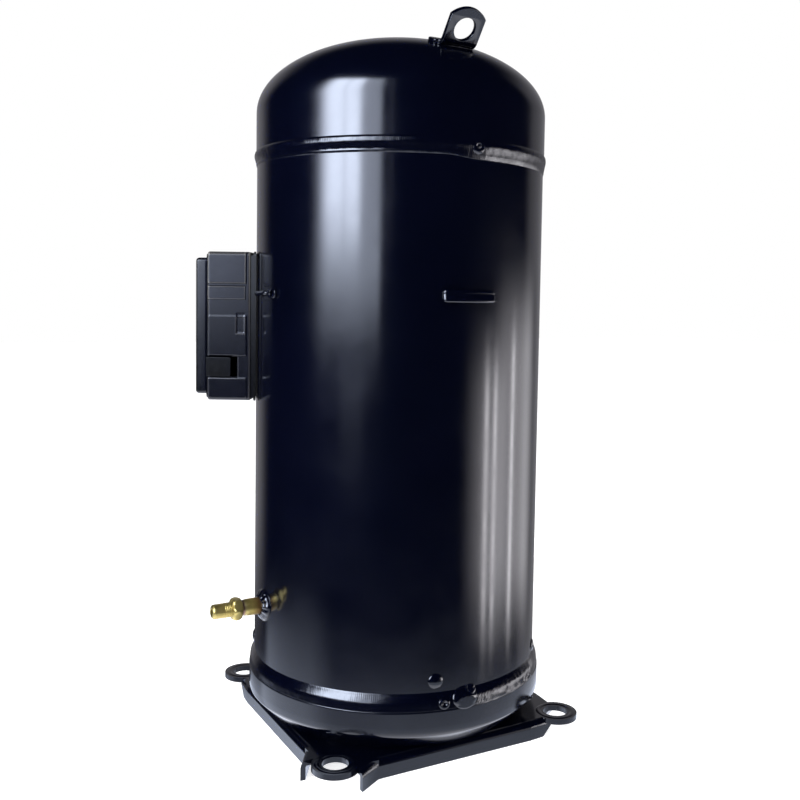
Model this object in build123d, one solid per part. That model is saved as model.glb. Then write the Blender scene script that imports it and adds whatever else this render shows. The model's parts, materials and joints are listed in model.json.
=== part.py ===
from build123d import *
import math
import os

# Scroll compressor: an upright welded steel can on a four-eared base plate, with the scroll pair,
# the crankshaft and the motor inside. Millimetres. Z is up, the origin is on the can's axis at the
# level of the base plate's flange bottoms, and X and Y run along the square of foot holes.
# Angles are degrees about Z from +X.

# ---- driving dimensions ----
SHELL_R = 113.8            # outside of the shell tube
WALL = 4.0
SHELL_IN = SHELL_R - WALL
CAP_R = 114.5              # outside of the top cap
SLIP = 0.05                # gap between the tube and the bottom cap that it stands in
SUMP_R = SHELL_R + SLIP + WALL   # outside of the bottom cap
TOP_SEAM_Z = 441.0
LOW_SEAM_Z = 50.0
TUBE_LOW_Z = 38.0
DOME_Z = 481.5             # where the dome starts to curve
DOME_H = 58.0
PLATE_TOP = 14.0           # top of the base plate
SHEET = 4.0                # base plate sheet
FOOT = 95.25               # half of the foot hole spacing
FOOT_HOLE_R = 9.5
EAR_R = 17.0

LUG_REACH = 80.0           # lifting lug, radius where its tab meets the dome
LUG_ANGLE = -88.5
LUG_LEAN = 11.0            # how far the tab leans outward from the dome's normal
LUG_SHEET = 3.5
LUG_HALF = 14.5
LUG_HEIGHT = 30.2
LUG_HOLE_R = 8.5
LUG_HOLE_UP = 14.3

BOX_ANGLE = 150.0          # terminal box
BOX_Z = 315.0
BOX_W = 76.0
BOX_H = 116.0
BOX_BACK = 114.0
BOX_FRONT = 147.0
COVER_FRONT = 156.5
BOX_WALL = 2.5
ENTRY_R = 10.25            # cable entry

VALVE_Z = 102.0            # access valve, on the -X side
STUD_Z = 341.0
STRAP_Z = 341.0
STRAP_ANGLE = -92.0         # middle of the strap
STRAP_REACH = 10.3
STRAP_H = 9.0
STRAP_OUT = 4.5

SUCTION_ANGLE = 90.0
SUCTION_SOCKET_R = 14.35
SUCTION_OUT = 44.2
STUB_START = 95.0          # inner end of the suction stub, in the scroll's rim
DISCHARGE_ANGLE = 45.0
DISCHARGE_Z = 300.0
DISCHARGE_SOCKET_R = 9.6
DISCHARGE_OUT = 39.2

PITCH = 20.0               # scroll wraps
WRAP = 4.4                 # wrap thickness
ORBIT = 5.5                # crank throw
WRAP_START = 4.2           # roll angles of the involute, radians
WRAP_END = 20.2
THRUST_Z = 390.0           # running face under the orbiting scroll
ORBIT_PLATE_TOP = 400.0
WRAP_TOP = 438.4           # underside of the fixed scroll's plate
FIXED_TOP = 460.0
RUN = 0.05                 # running clearance
TIP = 0.2                  # wrap tip clearance
ORBIT_PLATE_R = 79.0
CAVITY_R = 86.0

MAIN_R = 17.5              # crankshaft journals
LOW_R = 12.5
ROTOR_SHAFT_R = 19.0
PIN_R = 11.0
BUSH_R = 15.0
HUB_R = 24.0

CORE_LOW = 150.0           # motor
CORE_TOP = 250.0
BORE_R = 58.0
ROTOR_R = 57.4
SLOTS = 24
COIL_TOP = 278.0           # end turns of the winding
COIL_LOW = 122.0

BASE_CIRCLE = PITCH / (2 * math.pi)
SUCTION_Z = (ORBIT_PLATE_TOP + WRAP_TOP) / 2


# ---- helpers ----
def turned(points):
    """Solid of revolution about Z from a closed list of (radius, height) corners."""
    return revolve(Plane.XZ * make_face(Polyline(*points, close=True)), Axis.Z)


def ring(inner, outer, low, top):
    """Plain ring between two radii and two heights."""
    return turned([(inner, low), (outer, low), (outer, top), (inner, top)])


def disc(radius, low, top):
    """Round solid on the Z axis between two heights."""
    return Pos(0, 0, (low + top) / 2) * Cylinder(radius, top - low)


def block(x, y, z):
    """Box from three (low, high) pairs."""
    centre = [(low + high) / 2 for low, high in (x, y, z)]
    sides = [high - low for low, high in (x, y, z)]
    return Pos(*centre) * Box(*sides)


def facing(angle, height):
    """Frame on the shell's axis: Z points outward, X runs round the shell, Y is up."""
    turn = math.radians(angle)
    return Plane(
        origin=(0, 0, height),
        x_dir=(-math.sin(turn), math.cos(turn), 0),
        z_dir=(math.cos(turn), math.sin(turn), 0),
    )


def around(solid, angles):
    """The solid repeated about Z at each angle, as a list."""
    return [Rot(0, 0, angle) * solid for angle in angles]


def group(solids):
    """Separate solids kept in one node."""
    return Compound(children=[part for solid in solids for part in solid.solids()])


def shell_envelope(radius=SHELL_R):
    """Solid that fills the shell tube."""
    return disc(radius, 0, TOP_SEAM_Z + WALL)


# ---- shell ----
def make_shell_tube():
    tube = ring(SHELL_IN, SHELL_R, TUBE_LOW_Z, TOP_SEAM_Z)
    tube -= facing(SUCTION_ANGLE, SUCTION_Z) * Pos(0, 0, SHELL_R) * Cylinder(SUCTION_SOCKET_R, SHELL_R)
    tube -= facing(DISCHARGE_ANGLE, DISCHARGE_Z) * Pos(0, 0, SHELL_R) * Cylinder(DISCHARGE_SOCKET_R, SHELL_R)
    tube -= facing(BOX_ANGLE, BOX_Z) * Pos(0, 0, SHELL_R) * Cylinder(TERMINAL_R, SHELL_R)
    tube -= facing(180, VALVE_Z) * Pos(0, 0, SHELL_R) * Cylinder(VALVE_ROOT_R, SHELL_R)
    return tube


def capped_can(radius, rise):
    """Solid can with an elliptical dome, from the top seam up."""
    steps = 8
    turns = [math.pi / 2 * i / steps for i in range(steps + 1)]
    arch = [(radius * math.cos(turn), DOME_Z + rise * math.sin(turn)) for turn in turns]
    edges = [
        Spline(*arch, tangents=[(0, 1), (-1, 0)]),
        Line((0, DOME_Z + rise), (0, TOP_SEAM_Z)),
        Line((0, TOP_SEAM_Z), (radius, TOP_SEAM_Z)),
        Line((radius, TOP_SEAM_Z), (radius, DOME_Z)),
    ]
    return revolve(Plane.XZ * make_face(edges), Axis.Z)


def make_top_cap():
    return capped_can(CAP_R, DOME_H) - capped_can(CAP_R - WALL, DOME_H - WALL)


def make_bottom_cap():
    inner = SUMP_R - WALL
    floor = PLATE_TOP + WALL
    slope_in = SUMP_SLOPE - WALL * math.tan(math.radians(22.5))
    return turned([
        (0, PLATE_TOP), (SUMP_R - SUMP_SLOPE, PLATE_TOP), (SUMP_R, PLATE_TOP + SUMP_SLOPE),
        (SUMP_R, LOW_SEAM_Z), (inner, LOW_SEAM_Z), (inner, floor + slope_in),
        (inner - slope_in, floor), (0, floor),
    ])


def make_top_weld():
    return turned([
        (SHELL_R, TOP_SEAM_Z - 3.0),
        (SHELL_R + 0.9, TOP_SEAM_Z),
        (CAP_R + 1.1, TOP_SEAM_Z + 3.5),
        (CAP_R, TOP_SEAM_Z + 6.5),
        (CAP_R, TOP_SEAM_Z),
        (SHELL_R, TOP_SEAM_Z),
    ])


def make_bottom_weld():
    return turned([
        (SUMP_R, LOW_SEAM_Z - 5.5),
        (SUMP_R + 0.7, LOW_SEAM_Z - 4.0),
        (SUMP_R + 0.7, LOW_SEAM_Z),
        (SHELL_R + 2.6, LOW_SEAM_Z + 4.5),
        (SHELL_R, LOW_SEAM_Z + 7.5),
        (SHELL_R, LOW_SEAM_Z),
        (SUMP_R, LOW_SEAM_Z),
    ])


# ---- base plate ----
SUMP_SLOPE = 13.5          # 45 degree slope under the bottom cap
PLATE_HALF = 105.0         # plate edge and outside of the flanges
FOLD_R = 5.0               # outside of the bend where a flange folds down
WEB = 14.0                 # how far a flange's section reaches in over the plate
FLARE = (18.0, 11.0)       # length and depth of a flange's flared end
TUCK = (21.0, 2.0)         # length and depth of its other end, which bends inward
FLANGE_LONG = (-66.0, 86.0)   # front and rear flanges, from the flare to the far end
FLANGE_SHORT = (-64.0, 82.0)  # side flanges
CORNER_CUT = 8.0           # cut off a flange's lower corner at its far end


def flange_section(x, outward):
    """Section of a flange along -Y at x: a flat web, the bend and the wall down from it."""
    outer = -PLATE_HALF - outward
    inner = outer + SHEET
    bend = FOLD_R - SHEET
    top = PLATE_TOP
    edges = [
        Line((outer, 0), (outer, top - FOLD_R)),
        CenterArc((outer + FOLD_R, top - FOLD_R), FOLD_R, 180, -90),
        Line((outer + FOLD_R, top), (outer + WEB, top)),
        Line((outer + WEB, top), (outer + WEB, top - SHEET)),
        Line((outer + WEB, top - SHEET), (outer + FOLD_R, top - SHEET)),
        CenterArc((outer + FOLD_R, top - FOLD_R), bend, 90, 90),
        Line((inner, top - FOLD_R), (inner, 0)),
        Line((inner, 0), (outer, 0)),
    ]
    return Pos(x, 0, 0) * (Plane.YZ * make_face(edges))


def flange_strip(low, high):
    """Flange along -Y, folded down from the plate, one end flared and the other tucked in."""
    run, depth = FLARE
    tuck_run, tuck = TUCK
    stations = [(low - run, depth), (low, 0), (high - tuck_run, 0), (high, -tuck)]
    strip = Part()
    for (start, out_start), (end, out_end) in zip(stations, stations[1:]):
        step = Vector(end - start, out_start - out_end, 0)
        strip += extrude(flange_section(start, out_start), amount=step.length, dir=step)
    corner = Polyline((high - CORNER_CUT, 0), (high, 0), (high, CORNER_CUT), close=True)
    cutter = extrude(Plane.XZ * make_face(corner), 2 * SHEET, both=True)
    return strip - Pos(0, -PLATE_HALF + SHEET, 0) * cutter


def flange_room(low, high):
    """Edge of the plate that a flange's section takes the place of."""
    return block((low, high), (-PLATE_HALF - 1, -PLATE_HALF + FOLD_R), (0, PLATE_TOP + 1))


def make_base_plate():
    plate = block((-PLATE_HALF, PLATE_HALF), (-PLATE_HALF, PLATE_HALF), (PLATE_TOP - SHEET, PLATE_TOP))
    front = flange_strip(*FLANGE_LONG)
    side = mirror(flange_strip(*FLANGE_SHORT), Plane.YZ)
    front_room = flange_room(*FLANGE_LONG)
    side_room = mirror(flange_room(*FLANGE_SHORT), Plane.YZ)
    for turn in (0, 180):
        plate -= Rot(0, 0, turn) * front_room
        plate -= Rot(0, 0, turn - 90) * side_room
    for turn in (0, 180):
        plate += Rot(0, 0, turn) * front
        plate += Rot(0, 0, turn - 90) * side
    corners = [(x, y) for x in (-FOOT, FOOT) for y in (-FOOT, FOOT)]
    for x, y in corners:
        plate += Pos(x, y, PLATE_TOP - SHEET / 2) * Cylinder(EAR_R, SHEET)
    for x, y in corners:
        plate -= Pos(x, y, PLATE_TOP / 2) * Cylinder(FOOT_HOLE_R, 2 * PLATE_TOP)
    return plate


# ---- lug, strap, stud ----
def lug_frame():
    """Frame on the dome where the lug's tab stands: Z along the dome's normal, Y up the dome."""
    rise = math.sqrt(1 - (LUG_REACH / CAP_R) ** 2)
    normal = Vector(0, -LUG_REACH / CAP_R ** 2, rise / DOME_H)
    place = Plane(origin=(0, -LUG_REACH, DOME_Z + DOME_H * rise), x_dir=(1, 0, 0), z_dir=normal)
    return Rot(0, 0, LUG_ANGLE + 90) * Location(place)


def make_lifting_lug():
    shoulder = LUG_HEIGHT - 6.6
    root = -4.0
    outline = [
        Line((-LUG_HALF, root), (LUG_HALF, root)),
        Line((LUG_HALF, root), (LUG_HALF, shoulder)),
        ThreePointArc((LUG_HALF, shoulder), (0, LUG_HEIGHT), (-LUG_HALF, shoulder)),
        Line((-LUG_HALF, shoulder), (-LUG_HALF, root)),
    ]
    tab = extrude(Plane.XZ * make_face(outline), LUG_SHEET)
    eye = Plane.XZ * Pos(0, LUG_HOLE_UP, 0) * Circle(LUG_HOLE_R)
    tab -= extrude(eye, 2 * LUG_SHEET, both=True)
    wide_side = -LUG_HALF - 4.5
    foot = block((wide_side, LUG_HALF), (-LUG_SHEET, 13), (root, LUG_SHEET))
    foot = fillet(foot.edges().filter_by(Axis.Z).group_by(Axis.Y)[-1], 4)
    lug = Rot(LUG_LEAN, 0, 0) * tab + foot
    return lug_frame() * lug - capped_can(CAP_R, DOME_H)


def make_strap_loop():
    """Flat bar bent to the shell, held off it by a leg at each end."""
    outer = SHELL_R + STRAP_OUT
    inner = outer - 2.5
    low = STRAP_Z - STRAP_H / 2
    top = STRAP_Z + STRAP_H / 2
    start = STRAP_ANGLE - STRAP_REACH
    end = STRAP_ANGLE + STRAP_REACH
    leg = 1.6
    loop = ring(inner, outer, low, top) & sector(start, end)
    legs = ring(SHELL_R, outer, low, top)
    for foot in (start, end - leg):
        loop += legs & sector(foot, foot + leg)
    return loop


def sector(start, end):
    """Tall wedge about Z between two angles, less than a half turn apart."""
    far = 2 * SHELL_R
    first = (far * math.cos(math.radians(start)), far * math.sin(math.radians(start)))
    last = (far * math.cos(math.radians(end)), far * math.sin(math.radians(end)))
    return extrude(make_face(Polyline((0, 0), first, last, close=True)), DOME_Z)


def make_ground_stud():
    stud = Pos(0, 0, SHELL_R + 2) * Cylinder(3.0, 8)
    stud = fillet(stud.edges().group_by(Axis.Z)[-1], 2)
    return facing(180, STUD_Z) * stud - shell_envelope()


# ---- access valve ----
VALVE_ROOT_R = 4.0
VALVE_TUBE_R = 6.4
CORE_R = 2.4


def on_valve(solid):
    """Puts a solid drawn along Z, starting at the shell's surface, on the access valve's axis."""
    return facing(180, VALVE_Z) * Pos(0, 0, SHELL_R) * solid


def make_valve_collar():
    collar = ring(VALVE_TUBE_R, 12.5, -3, 4.7)
    collar = chamfer(collar.edges().group_by(Axis.Z)[-1], 1.5)
    return on_valve(collar) - shell_envelope()


def make_valve_body():
    body = turned([
        (CORE_R, -WALL), (VALVE_ROOT_R, -WALL), (VALVE_ROOT_R, 0), (VALVE_TUBE_R, 0), (VALVE_TUBE_R, 18),
        (7.6, 18), (7.6, 25.5), (5.0, 26.5), (5.0, 28.0), (5.55, 28.6), (5.55, 39.0),
        (4.4, 41.0), (CORE_R, 41.0),
    ])
    hexagon = extrude(Pos(0, 0, 18) * RegularPolygon(9.1, 6), 7.5) - disc(CORE_R + 1, 17, 27)
    body = on_valve(body + hexagon)
    return body - disc(SHELL_R, 0, TOP_SEAM_Z) + on_valve(ring(CORE_R, VALVE_ROOT_R, -WALL, 0.2))


def make_valve_core():
    return on_valve(turned([
        (1.0, 22), (CORE_R, 22), (CORE_R, 36), (1.0, 36),
    ]))


def make_valve_pin():
    pin = disc(1.0 - RUN, 20, 38.5)
    return on_valve(pin + disc(1.9, 20, 22 - RUN))


# ---- terminal box ----
TERMINAL_R = 22.0
PIN_CIRCLE = 10.0
BASE_FLOOR = 117.0
FIXING_Y = 44.0            # box fixings above and below the box's centre
HOUSING_CAVITY_W = BOX_W - 2 * BOX_WALL   # the housing is a frame, open at both ends
HOUSING_CAVITY_H = BOX_H - 2 * BOX_WALL
ARM_Z = -33.0              # latch arms, from the box's centre
ARM_W = 16.0
COVER_W = 72.0
COVER_H = 106.0


def on_box(solid):
    """Puts a solid drawn with Z outward and Y up on the terminal box's axis."""
    return facing(BOX_ANGLE, BOX_Z) * solid


def slab(width, height, low, top):
    """Block centred on the box's axis between two distances from the shell's axis."""
    return block((-width / 2, width / 2), (-height / 2, height / 2), (low, top))


def soft_slab(width, height, low, top, radius):
    """Slab with rounded upright corners."""
    solid = slab(width, height, low, top)
    return fillet(solid.edges().filter_by(Axis.Z), radius)


def around_shell(radius):
    """Long cylinder of the shell's axis, drawn in the terminal box's frame."""
    return Rot(90, 0, 0) * Cylinder(radius, 3 * BOX_H)


def make_terminal_gasket():
    pad = soft_slab(BOX_W - 6, BOX_H - 6, 90, 120, 4)
    pad = (pad & around_shell(SHELL_R + 1.5)) - around_shell(SHELL_R)
    pad -= Pos(0, 0, SHELL_R) * Cylinder(TERMINAL_R + 6, 40)
    pad -= fixing_holes(4)
    return on_box(pad)


def fixing_holes(radius):
    """Cutters for the two fixings of the box."""
    hole = Pos(0, 0, SHELL_R) * Cylinder(radius, 60)
    return Pos(0, FIXING_Y, 0) * hole + Pos(0, -FIXING_Y, 0) * hole


def make_terminal_base():
    tray = soft_slab(BOX_W, BOX_H, 96, BOX_BACK - 3, 3)
    tray += slab(HOUSING_CAVITY_W - 0.6, HOUSING_CAVITY_H - 0.6, 100, BASE_FLOOR)
    tray -= around_shell(SHELL_R + 1.5)
    tray -= Pos(0, 0, SHELL_R) * Cylinder(TERMINAL_R + 4, 40)
    tray -= fixing_holes(2.6)
    return on_box(tray)


def make_terminal_housing():
    body = soft_slab(BOX_W, BOX_H, BOX_BACK, BOX_FRONT, 3)
    body -= slab(HOUSING_CAVITY_W, HOUSING_CAVITY_H, BOX_BACK - 1, COVER_FRONT)
    for side in (-1, 1):
        body -= Pos(side * BOX_W / 2, ARM_Z, BOX_FRONT) * Box(4 * BOX_WALL, ARM_W + 1, 48)
    body -= Pos(0, -BOX_H / 2, (BASE_FLOOR + BOX_FRONT) / 2) * Rot(90, 0, 0) * Cylinder(ENTRY_R, 20)
    return on_box(body)


def make_terminal_cover():
    lid = soft_slab(COVER_W, COVER_H, BOX_FRONT, COVER_FRONT, 3)
    lid = chamfer(lid.edges().group_by(Axis.Z)[-1], 1.5)
    lid += slab(BOX_W, BOX_H, BOX_FRONT, BOX_FRONT + 2)
    lid -= slab(COVER_W - 2 * BOX_WALL, COVER_H - 2 * BOX_WALL, BOX_FRONT - 1, COVER_FRONT - BOX_WALL)
    for side in (-1, 1):
        edge = side * BOX_W / 2
        inner = edge - side * 2.0
        across = (min(edge, inner), max(edge, inner))
        lid += block(across, (ARM_Z - ARM_W / 2, ARM_Z + ARM_W / 2), (128.5, BOX_FRONT + 1))
    return on_box(lid)


def make_terminal_cup():
    cup = Pos(0, 0, 110.5) * Cylinder(TERMINAL_R, 8)
    for x, y in pin_places():
        cup -= Pos(x, y, 110.5) * Cylinder(3.6, 20)
    return on_box(cup)


def pin_places():
    """The three terminal pins' places on the box's axis frame."""
    angles = [math.radians(90 + 120 * i) for i in range(3)]
    return [(PIN_CIRCLE * math.cos(a), PIN_CIRCLE * math.sin(a)) for a in angles]


def make_terminal_glass():
    bead = ring(1.6, 3.6, 106.5, 114.5)
    return group([on_box(Pos(x, y, 0) * bead) for x, y in pin_places()])


def make_terminal_pins():
    pin = disc(1.6, 99, 132)
    return group([on_box(Pos(x, y, 0) * pin) for x, y in pin_places()])


def make_terminal_studs():
    stud = disc(2.5, 110, 128)
    studs = [on_box(Pos(0, y, 0) * stud) - shell_envelope() for y in (-FIXING_Y, FIXING_Y)]
    return group(studs)


def make_terminal_nuts():
    nut = extrude(Pos(0, 0, BASE_FLOOR) * RegularPolygon(4.6, 6), 4) - disc(2.5, 110, 130)
    return group([on_box(Pos(0, y, 0) * nut) for y in (-FIXING_Y, FIXING_Y)])


# ---- refrigerant stubs ----
def stub(bore, tube, socket, start, length):
    """Tube through the shell with a wider socket at its outer end, drawn along Z."""
    end = SHELL_R + length
    return turned([
        (bore, start), (tube, start), (tube, end - 26), (socket + 1.6, end - 23),
        (socket + 1.6, end), (socket, end), (socket, end - 22), (bore, end - 25),
    ])


def make_suction_stub():
    pipe = stub(12.7, SUCTION_SOCKET_R, SUCTION_SOCKET_R, STUB_START, SUCTION_OUT)
    return facing(SUCTION_ANGLE, SUCTION_Z) * pipe


def make_discharge_stub():
    pipe = stub(8.0, DISCHARGE_SOCKET_R, DISCHARGE_SOCKET_R, 100, DISCHARGE_OUT)
    return facing(DISCHARGE_ANGLE, DISCHARGE_Z) * pipe


def stub_collar(angle, height, inner, outer):
    """Weld collar where a stub leaves the shell."""
    collar = ring(inner, outer, 100, SHELL_R + 4)
    collar = chamfer(collar.edges().group_by(Axis.Z)[-1].sort_by(SortBy.LENGTH)[-1], 2.5)
    return facing(angle, height) * collar - shell_envelope()


# ---- scroll set ----
def involute(offset):
    """Spiral curve: an involute of the base circle, moved sideways by the offset."""
    points = []
    count = 48
    for i in range(count + 1):
        roll = WRAP_START + (WRAP_END - WRAP_START) * i / count
        arm = roll * BASE_CIRCLE + offset
        x = BASE_CIRCLE * math.cos(roll) + arm * math.sin(roll)
        y = BASE_CIRCLE * math.sin(roll) - arm * math.cos(roll)
        points.append((x, y))
    return Spline(*points)


def wrap(low, top):
    """Spiral wall between two heights."""
    outer = involute(WRAP / 2)
    inner = involute(-WRAP / 2)
    edges = [outer, Line(outer @ 1, inner @ 1), inner, Line(inner @ 0, outer @ 0)]
    return Pos(0, 0, low) * extrude(make_face(edges), top - low)


BOLT_CIRCLE = 97.0
BOLT_R = 4.0
BOLT_ANGLES = (0, 60, 120, 180, 240, 300)
GAS_ANGLES = (30, 150, 210, 330)   # clear of the suction stub
GAS_R = 7.0
RIM_R = 108.0
PORT_R = 6.0


def gas_notches(low, top):
    """Cutters for the gas passages past the rim of the scroll housing."""
    notch = Pos(SHELL_IN, 0, (low + top) / 2) * Cylinder(GAS_R, top - low)
    return around(notch, GAS_ANGLES)


def make_fixed_scroll():
    chamber_r = 73.0
    body = ring(chamber_r, RIM_R, ORBIT_PLATE_TOP + TIP, WRAP_TOP)
    body += disc(RIM_R, WRAP_TOP, FIXED_TOP)
    body += wrap(ORBIT_PLATE_TOP + TIP, WRAP_TOP + 1)
    body -= disc(PORT_R, WRAP_TOP - 1, FIXED_TOP + 1)
    for hole in around(Pos(BOLT_CIRCLE, 0, 430) * Cylinder(BOLT_R, 80), BOLT_ANGLES):
        body -= hole
    for notch in gas_notches(390, 470):
        body -= notch
    port = facing(SUCTION_ANGLE, SUCTION_Z)
    body -= port * Pos(0, 0, SHELL_R) * Cylinder(SUCTION_SOCKET_R, 2 * (SHELL_R - STUB_START))
    body -= port * Pos(0, 0, 84) * Cylinder(12.7, 30)
    return body


def make_orbiting_scroll():
    plate = disc(ORBIT_PLATE_R, THRUST_Z + RUN, ORBIT_PLATE_TOP)
    slot_half = KEY_W / 2 + 2 * ORBIT + 0.5
    for side in (-1, 1):
        near = KEY_RING_R - KEY_LENGTH / 2 - ORBIT - 1
        across = sorted((side * near, side * (ORBIT_PLATE_R + 5)))
        plate -= block((-slot_half, slot_half), across, (THRUST_Z, THRUST_Z + 5.5))
    hub = ring(BUSH_R + 3, HUB_R, 360, THRUST_Z + 1)
    spiral = Rot(0, 0, 180) * wrap(ORBIT_PLATE_TOP - 1, WRAP_TOP - TIP)
    return Pos(ORBIT, 0, 0) * (plate + hub + spiral)


def make_orbiting_bearing():
    return Pos(ORBIT, 0, 0) * ring(BUSH_R + RUN, BUSH_R + 3, 361, 388)


KEY_W = 10.0
KEY_LENGTH = 12.0
KEY_RING_R = 68.0
OLDHAM_LOW = 381.2
OLDHAM_TOP = 386.0
LAND_R = 55.0


def make_oldham_ring():
    solid = ring(KEY_RING_R - 4.5, KEY_RING_R + 5, OLDHAM_LOW, OLDHAM_TOP)
    for side in (-1, 1):
        reach = sorted((side * (KEY_RING_R - KEY_LENGTH / 2), side * (KEY_RING_R + KEY_LENGTH / 2)))
        half = (-KEY_W / 2, KEY_W / 2)
        solid += block(reach, half, (OLDHAM_LOW - 4.5, OLDHAM_TOP))
        solid += block(half, reach, (OLDHAM_LOW, OLDHAM_TOP + 8.5))
    return Pos(ORBIT, 0, 0) * solid


def make_main_housing():
    body = turned([
        (20.5, 318), (34, 318), (34, 345), (62, 362), (98, 366), (98, 352), (SHELL_IN, 352),
        (SHELL_IN, ORBIT_PLATE_TOP + TIP), (CAVITY_R, ORBIT_PLATE_TOP + TIP),
        (CAVITY_R, OLDHAM_LOW - 0.2), (LAND_R, OLDHAM_LOW - 0.2), (LAND_R, THRUST_Z - 2),
        (33, THRUST_Z - 2), (33, 349), (20.5, 349),
    ])
    for side in (-1, 1):
        near = KEY_RING_R - KEY_LENGTH / 2 - ORBIT - 1
        far = KEY_RING_R + KEY_LENGTH / 2 + ORBIT + 1
        reach = sorted((side * near, side * far))
        half = KEY_W / 2 + RUN
        body -= block(reach, (-half, half), (OLDHAM_LOW - 5.5, OLDHAM_LOW))
    for hole in around(Pos(BOLT_CIRCLE, 0, 390) * Cylinder(BOLT_R, 28), BOLT_ANGLES):
        body -= hole
    for notch in gas_notches(340, 410):
        body -= notch
    return body


def make_scroll_bolts():
    bolt = disc(BOLT_R, 380, FIXED_TOP) + disc(6.5, FIXED_TOP, FIXED_TOP + 8)
    bolt -= extrude(Pos(0, 0, FIXED_TOP + 4) * RegularPolygon(3.6, 6), 6)
    return group(around(Pos(BOLT_CIRCLE, 0, 0) * bolt, BOLT_ANGLES))


def make_thrust_plate():
    return ring(34, LAND_R - 0.5, THRUST_Z - 2, THRUST_Z)


def make_main_bearing():
    return ring(MAIN_R + RUN, 20.5, 319, 348.5)


# ---- discharge side ----
GUIDE_R = 17.0
MUFFLER_R = 62.0
MUFFLER_H = 26.0


def make_check_disc():
    return disc(9.0, FIXED_TOP + RUN, FIXED_TOP + 1.05)


def make_check_guide():
    cage = turned([
        (9.3, FIXED_TOP), (GUIDE_R, FIXED_TOP), (GUIDE_R, FIXED_TOP + 7), (5, FIXED_TOP + 7),
        (5, FIXED_TOP + 4.3), (9.3, FIXED_TOP + 4.3),
    ])
    for window in around(Pos(GUIDE_R - 4, 0, FIXED_TOP + 3) * Box(16, 6, 2.6), (45, 135, 225, 315)):
        cage -= window
    return cage


def make_discharge_cover():
    low = FIXED_TOP
    top = FIXED_TOP + MUFFLER_H
    cover = turned([
        (MUFFLER_R - 12, low), (MUFFLER_R, low), (MUFFLER_R, low + 2), (MUFFLER_R - 11, low + 2),
        (MUFFLER_R - 20, top - 3), (MUFFLER_R - 26, top), (0, top), (0, top - 2),
        (MUFFLER_R - 27, top - 2), (MUFFLER_R - 22, top - 4.4), (MUFFLER_R - 13, low + 2),
    ])
    for hole in around(Pos(20, 0, top) * Cylinder(5, 12), (0, 90, 180, 270)):
        cover -= hole
    for hole in around(Pos(MUFFLER_R - 5, 0, low) * Cylinder(2.5, 12), COVER_BOLT_ANGLES):
        cover -= hole
    return cover


COVER_BOLT_ANGLES = (45, 135, 225, 315)


def make_cover_bolts():
    bolt = disc(2.5, FIXED_TOP, FIXED_TOP + 2) + disc(4.5, FIXED_TOP + 2, FIXED_TOP + 6)
    return group(around(Pos(MUFFLER_R - 5, 0, 0) * bolt, COVER_BOLT_ANGLES))


# ---- crankshaft and motor ----
def make_crankshaft():
    shaft = disc(LOW_R, 60, 106)
    shaft += disc(ROTOR_SHAFT_R, 106, 300)
    shaft += disc(MAIN_R, 300, 350)
    shaft += disc(HUB_R - 1, 349.5, 353)
    shaft += Pos(ORBIT, 0, 0) * disc(PIN_R, 353, 384)
    shaft = chamfer(shaft.edges().group_by(Axis.Z)[-1], 1)
    return shaft - Pos(ORBIT / 2, 0, 0) * disc(3, 50, 400)


def make_drive_bush():
    return Pos(ORBIT, 0, 0) * ring(PIN_R, BUSH_R, 354, 382)


def make_rotor_core():
    return ring(ROTOR_SHAFT_R, ROTOR_R, CORE_LOW, CORE_TOP)


def make_rotor_rings():
    return group([ring(30, 54, CORE_TOP, CORE_TOP + 8), ring(30, 54, CORE_LOW - 8, CORE_LOW)])


def half_ring(side, low, top):
    """Half of a ring on one side of the YZ plane."""
    reach = sorted((0, side * 80))
    return ring(24, 52, low, top) & block(reach, (-80, 80), (low, top))


def make_upper_weight():
    return half_ring(-1, CORE_TOP + 8, CORE_TOP + 24)


def make_lower_weight():
    return half_ring(1, CORE_LOW - 24, CORE_LOW - 8)


def make_oil_pickup():
    return turned([
        (4, 30), (6, 30), (LOW_R - 2, 38), (LOW_R - 2, 60), (LOW_R - 4, 60), (LOW_R - 4, 39), (4, 31.5),
    ])


def make_stator_core():
    core = ring(BORE_R, SHELL_IN, CORE_LOW, CORE_TOP)
    middle = (CORE_LOW + CORE_TOP) / 2
    height = CORE_TOP - CORE_LOW + 2
    step = 360 / SLOTS
    opening = block((BORE_R - 2, 66), (-1.5, 1.5), (middle - height / 2, middle + height / 2))
    pocket = block((65, 88), (-3.6, 3.6), (middle - height / 2, middle + height / 2))
    slot = opening + pocket
    for cutter in around(slot, [step * i for i in range(SLOTS)]):
        core -= cutter
    groove = Pos(SHELL_IN + 2, 0, middle) * Cylinder(10, height)
    for cutter in around(groove, (0, 60, 120, 180, 240, 300)):
        core -= cutter
    return core


def make_stator_winding():
    coil = ring(66, 96, CORE_TOP + 1, COIL_TOP) + ring(66, 96, COIL_LOW, CORE_LOW - 1)
    rounded = coil.edges().filter_by(GeomType.CIRCLE).group_by(Axis.Z)
    coil = fillet(rounded[-1] + rounded[0], 8)
    bar = block((66, 87), (-3.2, 3.2), (CORE_LOW - 2, CORE_TOP + 2))
    for conductor in around(bar, [360 / SLOTS * i for i in range(SLOTS)]):
        coil += conductor
    return coil


def make_motor_protector():
    capsule = Rot(90, 0, 0) * Cylinder(8, 26)
    capsule = fillet(capsule.edges(), 3)
    return Rot(0, 0, -30) * Pos(81, 0, COIL_TOP + 8) * capsule


def make_motor_leads():
    leads = []
    for x, y in pin_places():
        top = BOX_Z + y
        path = FilletPolyline((84, 0, COIL_TOP), (84, 0, top), (99, 0, top), radius=9)
        lead = sweep(Plane.XY.offset(COIL_TOP) * Pos(84, 0) * Circle(1.4), path=path)
        sideways = Pos(0, x, 0)
        leads.append(Rot(0, 0, BOX_ANGLE) * sideways * lead)
    return group(leads)


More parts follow.
